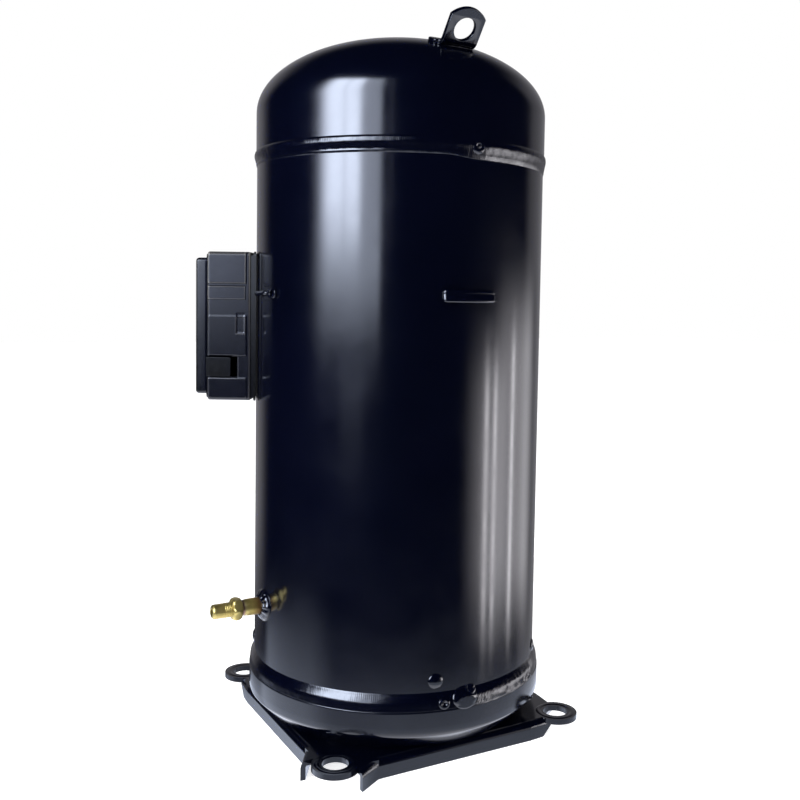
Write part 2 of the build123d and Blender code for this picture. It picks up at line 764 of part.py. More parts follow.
def make_lower_bracket():
    plate = disc(SHELL_IN, 84, 91) + disc(26, 76, 104)
    for cutter in around(Pos(66, 0, 88) * Cylinder(24, 20), (45, 135, 225, 315)):
        plate -= cutter
    return plate - disc(16, 70, 110)


def make_lower_bearing():
    return ring(LOW_R + RUN, 16, 77, 103.5)


def make_thrust_washer():
    return ring(LOW_R + 0.3, 18.5, 104, 106 - RUN)


# ---- nodes ----
NODES = {
    "shell_tube": make_shell_tube,
    "top_cap": make_top_cap,
    "bottom_cap": make_bottom_cap,
    "top_weld_bead": make_top_weld,
    "bottom_weld_bead": make_bottom_weld,
    "base_plate": make_base_plate,
    "lifting_lug": make_lifting_lug,
    "strap_loop": make_strap_loop,
    "ground_stud": make_ground_stud,
    "access_valve_collar": make_valve_collar,
    "access_valve_body": make_valve_body,
    "access_valve_core": make_valve_core,
    "access_valve_pin": make_valve_pin,
    "terminal_gasket": make_terminal_gasket,
    "terminal_base": make_terminal_base,
    "terminal_housing": make_terminal_housing,
    "terminal_cover": make_terminal_cover,
    "hermetic_terminal": make_terminal_cup,
    "terminal_glass": make_terminal_glass,
    "terminal_pins": make_terminal_pins,
    "terminal_studs": make_terminal_studs,
    "terminal_nuts": make_terminal_nuts,
    "suction_stub": make_suction_stub,
    "suction_collar": lambda: stub_collar(SUCTION_ANGLE, SUCTION_Z, SUCTION_SOCKET_R, 18),
    "discharge_stub": make_discharge_stub,
    "discharge_collar": lambda: stub_collar(DISCHARGE_ANGLE, DISCHARGE_Z, DISCHARGE_SOCKET_R, 15),
    "main_housing": make_main_housing,
    "thrust_plate": make_thrust_plate,
    "main_bearing": make_main_bearing,
    "fixed_scroll": make_fixed_scroll,
    "scroll_bolts": make_scroll_bolts,
    "orbiting_scroll": make_orbiting_scroll,
    "orbiting_bearing": make_orbiting_bearing,
    "oldham_ring": make_oldham_ring,
    "check_valve_guide": make_check_guide,
    "check_valve_disc": make_check_disc,
    "discharge_cover": make_discharge_cover,
    "discharge_cover_bolts": make_cover_bolts,
    "crankshaft": make_crankshaft,
    "drive_bush": make_drive_bush,
    "rotor_core": make_rotor_core,
    "rotor_end_rings": make_rotor_rings,
    "upper_balance_weight": make_upper_weight,
    "lower_balance_weight": make_lower_weight,
    "oil_pickup": make_oil_pickup,
    "stator_core": make_stator_core,
    "stator_winding": make_stator_winding,
    "motor_protector": make_motor_protector,
    "motor_leads": make_motor_leads,
    "lower_bracket": make_lower_bracket,
    "lower_bearing": make_lower_bearing,
    "lower_thrust_washer": make_thrust_washer,
}

os.makedirs("parts", exist_ok=True)
for name, make in NODES.items():
    export_step(make(), "parts/" + name + ".step")
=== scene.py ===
import json
import math

import bmesh
import bpy
from mathutils import Matrix, Vector
from mathutils import noise as field


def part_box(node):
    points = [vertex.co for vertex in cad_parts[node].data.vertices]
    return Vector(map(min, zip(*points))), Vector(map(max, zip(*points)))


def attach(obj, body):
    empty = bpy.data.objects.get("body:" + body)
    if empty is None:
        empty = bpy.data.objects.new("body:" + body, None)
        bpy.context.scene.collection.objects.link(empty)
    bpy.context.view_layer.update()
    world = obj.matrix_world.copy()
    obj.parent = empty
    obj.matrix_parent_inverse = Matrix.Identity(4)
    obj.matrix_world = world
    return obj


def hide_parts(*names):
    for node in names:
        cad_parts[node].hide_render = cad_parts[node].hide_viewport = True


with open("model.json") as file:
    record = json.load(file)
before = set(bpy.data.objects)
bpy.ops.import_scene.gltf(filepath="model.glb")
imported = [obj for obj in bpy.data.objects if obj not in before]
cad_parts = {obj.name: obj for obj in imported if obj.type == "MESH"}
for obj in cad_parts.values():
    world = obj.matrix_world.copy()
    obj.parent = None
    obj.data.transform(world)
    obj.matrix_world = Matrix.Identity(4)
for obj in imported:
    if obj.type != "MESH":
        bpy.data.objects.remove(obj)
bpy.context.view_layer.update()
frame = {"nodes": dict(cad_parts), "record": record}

MM = 0.001
TAU = 2 * math.pi


# ---- sizes from the frame ----
def low_high(node):
    """The node's lowest and highest corners."""
    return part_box(node)


def round_radius(node):
    """Outer radius of a node that is round about Z."""
    low, high = low_high(node)
    return (high.y - low.y) / 2


SHELL_R = round_radius("shell_tube")
CAP_R = round_radius("top_cap")
SUMP_R = round_radius("bottom_cap")
WALL = 4 * MM
TOP_SEAM = low_high("shell_tube")[1].z
LOW_SEAM = low_high("bottom_cap")[1].z
DOME_TOP = low_high("top_cap")[1].z
DOME_RISE = 58 * MM
DOME_BASE = DOME_TOP - DOME_RISE
PLATE_TOP = low_high("base_plate")[1].z
SUMP_SLOPE = 13.5 * MM      # the bottom cap slopes in at 45 degrees over this height
FOOT = 95.25 * MM           # half of the foot holes' spacing
FOOT_HOLE_R = 9.5 * MM
EAR_R = 17 * MM
STRAP_Z = 341 * MM          # height of the strap and of the earth tag


# ---- mesh helpers ----
def make_object(name, vertices, faces, sharp=35):
    """Mesh object with smooth shading that stays sharp past an edge angle."""
    mesh = bpy.data.meshes.new(name)
    mesh.from_pydata([tuple(v) for v in vertices], [], faces)
    mesh.update()
    return face_out(bpy.data.objects.new(name, mesh), sharp)


def finish_mesh(piece, sharp=35):
    """Links an object to the scene and gives it smooth shading with sharp corners."""
    if piece.name not in bpy.context.scene.collection.objects:
        bpy.context.scene.collection.objects.link(piece)
    piece.data.polygons.foreach_set("use_smooth", [True] * len(piece.data.polygons))
    piece.data.set_sharp_from_angle(angle=math.radians(sharp))
    return piece


def face_out(piece, sharp=35):
    """Turns a mesh's faces outward and shades it smooth."""
    work = bmesh.new()
    work.from_mesh(piece.data)
    bmesh.ops.recalc_face_normals(work, faces=work.faces)
    work.to_mesh(piece.data)
    work.free()
    return finish_mesh(piece, sharp)


def lathe(name, profile, columns, place=None, sharp=35, open_ends=False):
    """Solid of revolution from a closed list of (radius, height) corners, about Z unless placed.

    place(radius, height, turn) may say where each point goes; turn is in radians.
    """
    vertices = []
    for radius, height in profile:
        for j in range(columns):
            turn = TAU * j / columns
            spot = place(radius, height, turn) if place else polar(radius, math.degrees(turn), height)
            vertices.append(spot)
    faces = []
    rows = len(profile)
    for i in range(rows - 1 if open_ends else rows):
        k = (i + 1) % rows
        for j in range(columns):
            n = (j + 1) % columns
            faces.append((i * columns + j, i * columns + n, k * columns + n, k * columns + j))
    return make_object(name, vertices, faces, sharp)


def weld_poles(piece, sharp=35):
    """Joins the points of a lathe that meet on its axis and drops the faces that vanish."""
    work = bmesh.new()
    work.from_mesh(piece.data)
    bmesh.ops.remove_doubles(work, verts=work.verts, dist=0.01 * MM)
    bmesh.ops.recalc_face_normals(work, faces=work.faces)
    work.to_mesh(piece.data)
    work.free()
    return finish_mesh(piece, sharp)


def arc(centre, radius, start, end, steps):
    """Points of an arc in a plane, from one angle to another in degrees."""
    points = []
    for i in range(steps + 1):
        turn = math.radians(start + (end - start) * i / steps)
        points.append((centre[0] + radius * math.cos(turn), centre[1] + radius * math.sin(turn)))
    return points


def polar(radius, degrees, height):
    """Point at a radius and an angle about Z."""
    turn = math.radians(degrees)
    return Vector((radius * math.cos(turn), radius * math.sin(turn), height))


def window(value, low, high, soft_low, soft_high):
    """1 between two limits, fading smoothly to 0 within a margin outside each of them."""
    rise = min(1.0, max(0.0, (value - low + soft_low) / soft_low))
    fall = min(1.0, max(0.0, (high + soft_high - value) / soft_high))
    return (3 - 2 * rise) * rise * rise * (3 - 2 * fall) * fall * fall


def loft(name, sections, sharp=35, looped=False):
    """Skin through closed sections with the same number of points, with flat ends unless looped."""
    count = len(sections[0])
    vertices = [point for section in sections for point in section]
    faces = []
    for i in range(len(sections) - (0 if looped else 1)):
        k = (i + 1) % len(sections)
        for j in range(count):
            n = (j + 1) % count
            faces.append((i * count + j, i * count + n, k * count + n, k * count + j))
    if not looped:
        faces.append(tuple(range(count)))
        faces.append(tuple(range((len(sections) - 1) * count, len(sections) * count)))
    return make_object(name, vertices, faces, sharp)


def rod(name, points, radius, sides):
    """Round rod along a line of points, with tapered ends."""
    sections = []
    last = len(points) - 1
    for i, point in enumerate(points):
        ahead = (points[min(i + 1, last)] - points[max(i - 1, 0)]).normalized()
        side = ahead.cross(Vector((0, 0, 1))).normalized()
        top = side.cross(ahead)
        near = min(i, last - i)
        size = radius * math.sqrt(min(1.0, (near + 0.15) / 3))
        turns = [TAU * j / sides for j in range(sides)]
        sections.append([point + side * size * math.cos(t) + top * size * math.sin(t) for t in turns])
    return loft(name, sections)


def plate(name, outline, holes, thickness, bevel, cuts=()):
    """Flat sheet with rounded edges from an outline and holes, cut across at each y in cuts."""
    curve = bpy.data.curves.new(name, "CURVE")
    curve.dimensions = "2D"
    curve.fill_mode = "BOTH"
    curve.extrude = thickness / 2 - bevel
    curve.bevel_depth = bevel
    curve.bevel_resolution = 2
    curve.offset = -bevel
    for ring in [outline] + holes:
        spline = curve.splines.new("POLY")
        spline.points.add(len(ring) - 1)
        for point, (x, y) in zip(spline.points, ring):
            point.co = (x, y, 0, 1)
        spline.use_cyclic_u = True
    source = bpy.data.objects.new(name + "_outline", curve)
    mesh = bpy.data.meshes.new_from_object(source)
    bpy.data.objects.remove(source)
    work = bmesh.new()
    work.from_mesh(mesh)
    bmesh.ops.remove_doubles(work, verts=work.verts, dist=0.005 * MM)
    for cut in cuts:
        parts = list(work.verts) + list(work.edges) + list(work.faces)
        bmesh.ops.bisect_plane(work, geom=parts, plane_co=(0, cut, 0), plane_no=(0, 1, 0))
    work.to_mesh(mesh)
    work.free()
    mesh.materials.clear()
    return bpy.data.objects.new(name, mesh)


def even_shading(piece):
    """Lets a piece's large flat faces set the shading at their edges."""
    weighted = piece.modifiers.new("even_shading", "WEIGHTED_NORMAL")
    weighted.keep_sharp = True


def softened(node, name, width, segments=2):
    """Copy of a CAD node with its corners rounded off."""
    work = bmesh.new()
    work.from_mesh(frame["nodes"][node].data)
    bmesh.ops.remove_doubles(work, verts=work.verts, dist=0.01 * MM)
    bmesh.ops.dissolve_limit(work, angle_limit=math.radians(0.5), verts=work.verts, edges=work.edges)
    corner = math.radians(35)
    edges = [edge for edge in work.edges if len(edge.link_faces) == 2 and edge.calc_face_angle(0) > corner]
    bmesh.ops.bevel(
        work, geom=edges, offset=width, segments=segments, profile=0.5, affect="EDGES", clamp_overlap=True
    )
    mesh = bpy.data.meshes.new(name)
    work.to_mesh(mesh)
    work.free()
    piece = finish_mesh(bpy.data.objects.new(name, mesh), 30)
    even_shading(piece)
    return piece


def on_can(direction, height, across, up, out):
    """Point on the can: across and up from a spot, and out from the tube."""
    return polar(SHELL_R + out, direction + math.degrees(across / SHELL_R), height + up)


def dress(piece, material, body, slot, *nodes):
    """Gives a piece its material and body, and hides the CAD nodes it stands for; slot is not used."""
    piece.data.materials.clear()
    piece.data.materials.append(material)
    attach(piece, body)
    if nodes:
        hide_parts(*nodes)
    return piece


# ---- material helpers ----
def new_material(name):
    """Node material with a principled shader, with its node tree and the shader."""
    material = bpy.data.materials.new(name)
    material.use_nodes = True
    tree = material.node_tree
    tree.nodes.clear()
    output = tree.nodes.new("ShaderNodeOutputMaterial")
    shader = tree.nodes.new("ShaderNodeBsdfPrincipled")
    tree.links.new(shader.outputs["BSDF"], output.inputs["Surface"])
    return material, tree, shader


def noise(tree, scale, detail=3.0, roughness=0.5):
    """Noise in object space; scale is in features per metre."""
    place = tree.nodes.new("ShaderNodeTexCoord")
    texture = tree.nodes.new("ShaderNodeTexNoise")
    texture.inputs["Scale"].default_value = scale
    texture.inputs["Detail"].default_value = detail
    texture.inputs["Roughness"].default_value = roughness
    tree.links.new(place.outputs["Object"], texture.inputs["Vector"])
    return texture.outputs["Fac"]


def ramp(tree, source, stops):
    """Colour ramp fed by a number; stops are (position, colour)."""
    node = tree.nodes.new("ShaderNodeValToRGB")
    elements = node.color_ramp.elements
    while len(elements) < len(stops):
        elements.new(0.5)
    for element, (position, colour) in zip(elements, stops):
        element.position = position
        element.color = (*colour, 1)
    tree.links.new(source, node.inputs["Fac"])
    return node.outputs["Color"]


def spread(tree, source, low, high, from_low=0.3, from_high=0.7):
    """Number moved from one range to another."""
    node = tree.nodes.new("ShaderNodeMapRange")
    node.inputs["From Min"].default_value = from_low
    node.inputs["From Max"].default_value = from_high
    node.inputs["To Min"].default_value = low
    node.inputs["To Max"].default_value = high
    tree.links.new(source, node.inputs["Value"])
    return node.outputs["Result"]


def bump(tree, height, depth, strength=1.0, before=None):
    """Bump of a depth in metres, on top of an earlier one."""
    node = tree.nodes.new("ShaderNodeBump")
    node.inputs["Strength"].default_value = strength
    node.inputs["Distance"].default_value = depth
    tree.links.new(height, node.inputs["Height"])
    if before:
        tree.links.new(before, node.inputs["Normal"])
    return node.outputs["Normal"]


def coordinate(tree, axis):
    """Object-space coordinate along one axis, as a number."""
    place = tree.nodes.new("ShaderNodeTexCoord")
    split = tree.nodes.new("ShaderNodeSeparateXYZ")
    tree.links.new(place.outputs["Object"], split.inputs["Vector"])
    return split.outputs[axis]


def multiplied(tree, first, second):
    """Product of two colours."""
    node = tree.nodes.new("ShaderNodeMix")
    node.data_type = "RGBA"
    node.blend_type = "MULTIPLY"
    factor, colour_a, colour_b = [socket for socket in node.inputs if socket.enabled]
    factor.default_value = 1.0
    tree.links.new(first, colour_a)
    tree.links.new(second, colour_b)
    return [socket for socket in node.outputs if socket.enabled][0]


# ---- materials ----
def black_paint():
    """Gloss black paint with a navy tint, orange peel and a faint dusty mottle."""
    material, tree, shader = new_material("black_paint_gloss")
    cloud = noise(tree, 14, 4)
    colour = ramp(tree, cloud, [(0.3, (0.0003, 0.0006, 0.0028)), (0.7, (0.0006, 0.0009, 0.0040))])
    tree.links.new(colour, shader.inputs["Base Color"])
    haze = noise(tree, 35, 5, 0.6)
    tree.links.new(spread(tree, haze, 0.12, 0.18), shader.inputs["Roughness"])
    waves = bump(tree, noise(tree, 30, 1), 0.10 * MM, 0.3)
    peel = bump(tree, noise(tree, 700, 2), 0.006 * MM, 0.6, waves)
    tree.links.new(peel, shader.inputs["Normal"])
    return material


def simple_metal(name, colour, rough, metallic=1.0, grain=900):
    """Machined metal with fine grain and slight colour drift."""
    material, tree, shader = new_material(name)
    light = tuple(min(1, c * 1.15) for c in colour)
    dark = tuple(c * 0.8 for c in colour)
    tree.links.new(ramp(tree, noise(tree, 60, 4), [(0.35, dark), (0.65, light)]), shader.inputs["Base Color"])
    tree.links.new(spread(tree, noise(tree, grain, 3), rough * 0.8, rough * 1.3), shader.inputs["Roughness"])
    tree.links.new(bump(tree, noise(tree, grain, 3), 0.02 * MM, 0.4), shader.inputs["Normal"])
    shader.inputs["Metallic"].default_value = metallic
    return material


def box_plastic(name, edge_highlight_strength):
    """Blue-black moulded plastic with a fine texture, with painted light: lighter towards the top and darker
    towards the bottom, and painted highlights that brighten sharp edges by the second argument's strength.
    """
    material, tree, shader = new_material(name)
    cloud = ramp(tree, noise(tree, 40, 4), [(0.3, (0.0016, 0.0021, 0.0052)), (0.7, (0.0025, 0.0031, 0.0072))])
    # painted light: the plastic is made lighter towards the top and darker towards the bottom
    above = spread(tree, coordinate(tree, "Z"), 0, 1, 320 * MM, 352 * MM)
    painted_light_above = ramp(tree, above, [(0.0, (0.55, 0.55, 0.62)), (1.0, (1.5, 1.45, 1.35))])
    geometry = tree.nodes.new("ShaderNodeNewGeometry")
    # painted highlights: sharp edges are brightened as if they caught the light
    edge = spread(tree, geometry.outputs["Pointiness"], 0, 1, 0.510, 0.545)
    painted_edge_highlight = ramp(tree, edge, [(0.0, (1, 1, 1)), (1.0, (edge_highlight_strength, 0.8 * edge_highlight_strength, 0.35 * edge_highlight_strength))])
    tree.links.new(multiplied(tree, multiplied(tree, cloud, painted_light_above), painted_edge_highlight), shader.inputs["Base Color"])
    tree.links.new(spread(tree, noise(tree, 300, 4), 0.16, 0.22), shader.inputs["Roughness"])
    tree.links.new(bump(tree, noise(tree, 1500, 2), 0.008 * MM, 0.5), shader.inputs["Normal"])
    shader.inputs["Specular IOR Level"].default_value = 0.3
    return material


def valve_brass():
    """Drawn brass, tinted purple and red-brown by the heat of brazing towards the can."""
    material, tree, shader = new_material("brass_heat_tinted")
    along = spread(tree, coordinate(tree, "X"), 0, 1, -SHELL_R - 42 * MM, -SHELL_R)
    gold, olive = (0.50, 0.38, 0.12), (0.38, 0.31, 0.11)
    plum, rust = (0.14, 0.07, 0.08), (0.24, 0.12, 0.045)
    stops = [(0.0, olive), (0.25, gold), (0.50, olive), (0.575, gold), (0.585, plum), (0.64, olive)]
    stops += [(0.75, gold), (0.90, rust), (0.97, gold)]
    tint = ramp(tree, along, stops)
    cloud = noise(tree, 130, 4)
    tarnish = ramp(tree, cloud, [(0.35, (0.72, 0.72, 0.66)), (0.62, (1, 1, 1))])
    tree.links.new(multiplied(tree, tint, tarnish), shader.inputs["Base Color"])
    tree.links.new(spread(tree, noise(tree, 400, 3), 0.30, 0.44), shader.inputs["Roughness"])
    tree.links.new(bump(tree, noise(tree, 500, 3), 0.012 * MM, 0.4), shader.inputs["Normal"])
    shader.inputs["Metallic"].default_value = 0.88
    return material


def floor_material():
    """Pale floor that the white backdrop runs into."""
    material, tree, shader = new_material("pale_floor")
    colour = ramp(tree, noise(tree, 3, 3), [(0.3, (0.83, 0.83, 0.83)), (0.7, (0.86, 0.86, 0.86))])
    tree.links.new(colour, shader.inputs["Base Color"])
    shader.inputs["Roughness"].default_value = 0.8
    shader.inputs["Emission Color"].default_value = (1, 1, 1, 1)
    shader.inputs["Emission Strength"].default_value = 0.78
    return material


# ---- pieces ----
def shell_tube(paint):
    """Drawn tube between the two seams."""
    inner = SHELL_R - WALL
    rows = 12
    outside = [(SHELL_R, LOW_SEAM + (TOP_SEAM - LOW_SEAM) * i / rows) for i in range(rows + 1)]
    piece = lathe("shell_can", outside + [(inner, TOP_SEAM), (inner, LOW_SEAM)], 256)
    return dress(piece, paint, "housing", "black_paint", "shell_tube")


def top_cap(paint):
    """Dome with an elliptical crown."""
    steps = 40
    quarter = [math.pi / 2 * i / steps for i in range(steps + 1)]
    outer = [(CAP_R * math.cos(t), DOME_BASE + DOME_RISE * math.sin(t)) for t in quarter]
    radius, rise = CAP_R - WALL, DOME_RISE - WALL
    inner = [(radius * math.cos(t), DOME_BASE + rise * math.sin(t)) for t in reversed(quarter)]
    profile = [(CAP_R, TOP_SEAM)] + outer + inner + [(CAP_R - WALL, TOP_SEAM)]
    return dress(weld_poles(lathe("dome_cap", profile, 256)), paint, "housing", "black_paint", "top_cap")


def bottom_cap(paint):
    """Low cup that the tube stands in: upright wall, a tight corner and an inclined underside."""
    lip = 0.6 * MM
    top = LOW_SEAM - 4.6 * MM
    low = PLATE_TOP
    inner_r = SUMP_R - WALL
    corner = low + SUMP_SLOPE
    under = [(0, low), (SUMP_R - SUMP_SLOPE, low)]
    under += [(SUMP_R - 1.4 * MM, corner - 1.4 * MM), (SUMP_R - 0.4 * MM, corner - 0.2 * MM)]
    wall = [(SUMP_R, corner + (top - lip - corner) * share) for share in (0.08, 0.35, 0.65, 0.95)]
    rim = arc((SUMP_R - lip, top - lip), lip, 0, 90, 4)
    inside = [(inner_r, top), (inner_r, corner), (inner_r - 8 * MM, low + WALL), (0, low + WALL)]
    profile = under + wall + rim + inside
    return dress(weld_poles(lathe("sump_cap", profile, 256)), paint, "housing", "black_paint", "bottom_cap")


def base_plate(paint):
    """Pressed plate with its folded flanges."""
    dress(softened("base_plate", "base_sheet", 1.2 * MM, 3), paint, "housing", "black_paint", "base_plate")


def ear_rolls(paint):
    """Rolled rims round the four foot holes."""
    middle_r = (FOOT_HOLE_R + EAR_R) / 2
    half = (EAR_R - FOOT_HOLE_R) / 2 - 0.2 * MM
    for i, (x, y) in enumerate([(-1, -1), (1, -1), (1, 1), (-1, 1)]):
        centre = Vector((x * FOOT, y * FOOT, PLATE_TOP - 2.1 * MM))
        section = [(middle_r + px, 0.72 * py) for px, py in arc((0, 0), half, 0, 360, 20)[:-1]]

        def place(radius, height, turn):
            dent = 0.12 * MM * field.noise(Vector((turn * 2, radius * 200, i * 7.0)))
            return centre + polar(radius, math.degrees(turn), height + dent)

        dress(lathe(f"ear_roll_{i}", section, 72, place), paint, "housing", "black_paint")


def terminal_base(plastic):
    """Tray that holds the box to the can."""
    dress(softened("terminal_base", "box_tray", 0.5 * MM), plastic, "housing", "box_plastic", "terminal_base")


def foot_welds(paint):
    """Lumps of weld where the bottom cap meets the base plate."""
    for name, direction in (("front", -139), ("right", -50), ("rear", 41), ("left", 133)):
        rings = 10

        def place(share, _, turn):
            across = 8 * MM * share * math.cos(turn)
            up = 4.5 * MM * share * math.sin(turn)
            rise = 2.6 * MM * math.sqrt(max(0.0, 1 - share ** 2))
            rise += 0.4 * MM * field.noise(Vector((across, up, direction)) * 330) * (1 - share)
            height = PLATE_TOP + 9.5 * MM + up
            slope = min(0.0, height - PLATE_TOP - SUMP_SLOPE)
            return on_can(direction, height, across, 0, SUMP_R - SHELL_R + slope + rise - 0.6 * MM)

        profile = [(i / rings, 0) for i in range(rings + 1)]
        piece = lathe("foot_weld_" + name, profile, 48, place, open_ends=True)
        dress(weld_poles(piece, 60), paint, "housing", "black_paint")


# ---- weld seams ----
# Profiles are (how far outside the tube, height above the seam), in millimetres.
TOP_BEAD = [
    (-0.5, -1.6), (0.0, -1.6), (0.3, -1.1), (0.7, 1.1), (1.2, 3.1), (1.55, 4.3), (1.8, 5.2), (1.95, 5.9),
    (2.0, 6.6), (1.95, 7.4), (1.75, 8.6), (1.45, 9.3), (1.1, 9.8), (0.7, 10.3), (-0.5, 10.3),
]
LOW_BEAD = [
    (-0.5, -6.0), (3.2, -6.0), (3.7, -4.7), (3.65, -4.3), (3.55, -3.0), (3.42, -1.0), (3.25, 0.8), (3.0, 2.0),
    (2.55, 3.0), (1.95, 4.2), (1.35, 5.4), (0.85, 6.1), (0.35, 6.8), (0.0, 7.4), (-0.5, 7.4),
]
RIPPLE_PITCH = 1.4 * MM
RUN_START = -89
RUN_END = -53


def seam(profile, height):
    """Bead profile in metres, as (radius, height) corners."""
    return [(SHELL_R + out * MM, height + up * MM) for out, up in profile]


def weld_ripple(turn, height, seed):
    """Unevenness of a laid bead between about -1 and 1: small waves across it and broad lumps."""
    way = Vector((math.cos(turn), math.sin(turn), 0))
    drift = field.noise(way * 14 + Vector((seed, 0, height * 300)))
    lumps = field.noise(way * 38 + Vector((0, seed, height * 260)))
    waves = math.sin(TAU * (turn * SHELL_R / RIPPLE_PITCH + 0.35 * drift + height * 180))
    return 0.45 * waves + 0.9 * lumps


def top_weld_bead(paint):
    """Bead round the top seam, which sags on its right side."""
    def place(radius, height, turn):
        degrees = (math.degrees(turn) + 180) % 360 - 180
        if radius > SHELL_R:
            radius += 0.13 * MM * weld_ripple(turn, height, 3)
        low = min(1.0, max(0.0, (TOP_SEAM + 6 * MM - height) / (7.6 * MM)))
        sag = 2.4 * MM * low * window(degrees, -88, 60, 14, 60)
        return polar(radius, degrees, height - sag)

    piece = lathe("top_seam_weld", seam(TOP_BEAD, TOP_SEAM), 2600, place)
    dress(piece, paint, "housing", "black_paint", "top_weld_bead")


def bottom_weld_bead(paint):
    """Bead round the bottom seam, rough where the weld run is."""
    def place(radius, height, turn):
        degrees = (math.degrees(turn) + 180) % 360 - 180
        run = window(degrees, RUN_START, RUN_END, 1.5, 2.5)
        crest = window(height, LOW_SEAM - 5 * MM, LOW_SEAM + 3.5 * MM, 1 * MM, 2 * MM)
        if radius > SHELL_R:
            depth = 0.06 + 0.30 * run * crest
            radius += depth * MM * weld_ripple(turn, height, 8) + 0.45 * MM * run * crest
        return polar(radius, degrees, height)

    piece = lathe("bottom_seam_weld", seam(LOW_BEAD, LOW_SEAM), 2600, place)
    dress(piece, paint, "housing", "black_paint", "bottom_weld_bead")


def bead_out(height):
    """How far the bottom bead or the tube stands outside the tube's radius at a height."""
    slope = [(up * MM + LOW_SEAM, out * MM) for out, up in LOW_BEAD[3:-2]]
    if height <= slope[0][0]:
        return SUMP_R - SHELL_R
    for (low, out_low), (high, out_high) in zip(slope, slope[1:]):
        if height <= high:
            return out_low + (out_high - out_low) * (height - low) / (high - low)
    return 0.0


MARK_LIMIT = 4.6 * MM      # weld marks stand no further out than this from the tube


def button(name, paint, direction, height, wide, tall, rise, rough, edge=0.35, dent=0.0):
    """Flat lump of weld on the can's wall: a rounded rim with an uneven top and an optional dent."""
    rings = 14
    sink = -0.8 * MM

    def place(share, _, turn):
        across = wide * share * math.cos(turn)
        up = tall * share * math.sin(turn)
        dome = (1 - share ** 2) ** edge * rise
        dome -= dent * max(0.0, 1 - (share / 0.55) ** 2)
        spot = Vector((across, up, direction)) * 260
        dome += rough * field.noise(spot) * (1 - share ** 4)
        base = bead_out(height + up)
        out = min(base + dome, MARK_LIMIT) if share < 0.999 else base + sink
        return on_can(direction, height, across, up, out)

    profile = [(i / rings, 0) for i in range(rings + 1)] + [(1.0, 1)]
    piece = lathe(name, profile, 72, place, open_ends=True)
    dress(weld_poles(piece, 60), paint, "housing", "black_paint")


def weld_marks(paint):
    """Spot welds and the lumps where the bottom seam's weld run starts."""
    plug = TOP_SEAM + 4.6 * MM
    button("plug_weld_top", paint, -89.5, plug, 5.6 * MM, 5.4 * MM, 3.0 * MM, 0.15 * MM, 0.5, 1.6 * MM)
    button("spot_weld_front", paint, -102.5, 65.3 * MM, 6.0 * MM, 5.9 * MM, 1.9 * MM, 0.03 * MM, 0.55)
    for name, direction in (("spot_weld_left", 157), ("spot_weld_rear", 37), ("spot_weld_right", -42)):
        button(name, paint, direction, 63 * MM, 5.2 * MM, 4.9 * MM, 1.7 * MM, 0.03 * MM, 0.6)
    button("run_start_low", paint, -91.2, 51.4 * MM, 10.4 * MM, 8.2 * MM, 2.2 * MM, 0.6 * MM, 0.85)
    button("run_start_top", paint, -88.4, 56.0 * MM, 4.4 * MM, 3.8 * MM, 2.2 * MM, 0.4 * MM, 0.85)
    button("run_crater", paint, -99.6, 49.8 * MM, 4.4 * MM, 4.3 * MM, 1.5 * MM, 0.15 * MM, 0.35, 1.6 * MM)


# ---- lifting lug ----
LUG_REACH = 80 * MM
LUG_ANGLE = -88.5
LUG_LEAN = 11
LUG_SHEET = 3.5 * MM
LUG_HALF = 14.5 * MM
LUG_BEND = 4.25 * MM       # middle radius of the bend
LUG_FOOT = 11.4 * MM       # flat foot behind the bend
LUG_CROWN = 30.4 * MM      # crown's distance from the start of the bend, along the sheet
LUG_CROWN_R = 19.0 * MM
LUG_EYE = (14.6 * MM, 8.5 * MM)   # eye's place along the sheet and its radius
LUG_DOME_R = 90 * MM       # how the dome curves up behind the lug


def lug_place():
    """Matrix of the spot on the dome where the lug stands: Z along the dome's normal, Y up the dome."""
    rise = math.sqrt(1 - (LUG_REACH / CAP_R) ** 2)
    normal = Vector((0, -LUG_REACH / CAP_R ** 2, rise / DOME_RISE)).normalized()
    side = Vector((1, 0, 0))
    back = normal.cross(side)
    turned = Matrix((side, back, normal)).transposed().to_4x4()
    spot = Matrix.Translation((0, -LUG_REACH, DOME_BASE + DOME_RISE * rise))
    return Matrix.Rotation(math.radians(LUG_ANGLE + 90), 4, "Z") @ spot @ turned


def lug_bend(across, along, out):
    """Place on the bent sheet of a spot on the flat one; out is positive on the outer side."""
    arc_length = math.radians(90 - LUG_LEAN) * LUG_BEND
    centre_y, centre_z = 1.6 * MM, 6.0 * MM
    turn = min(max(along / LUG_BEND, 0.0), arc_length / LUG_BEND)
    reach = LUG_BEND + out
    y = centre_y - reach * math.sin(turn)
    z = centre_z - reach * math.cos(turn)
    rest = along - turn * LUG_BEND
    y -= rest * math.cos(turn)
    z += rest * math.sin(turn)
    hug = max(0.0, 1 - max(0.0, along) / arc_length)
    z -= hug * (across ** 2 / (2 * CAP_R) + max(0.0, y) ** 2 / (2 * LUG_DOME_R))
    return Vector((across, y, z))


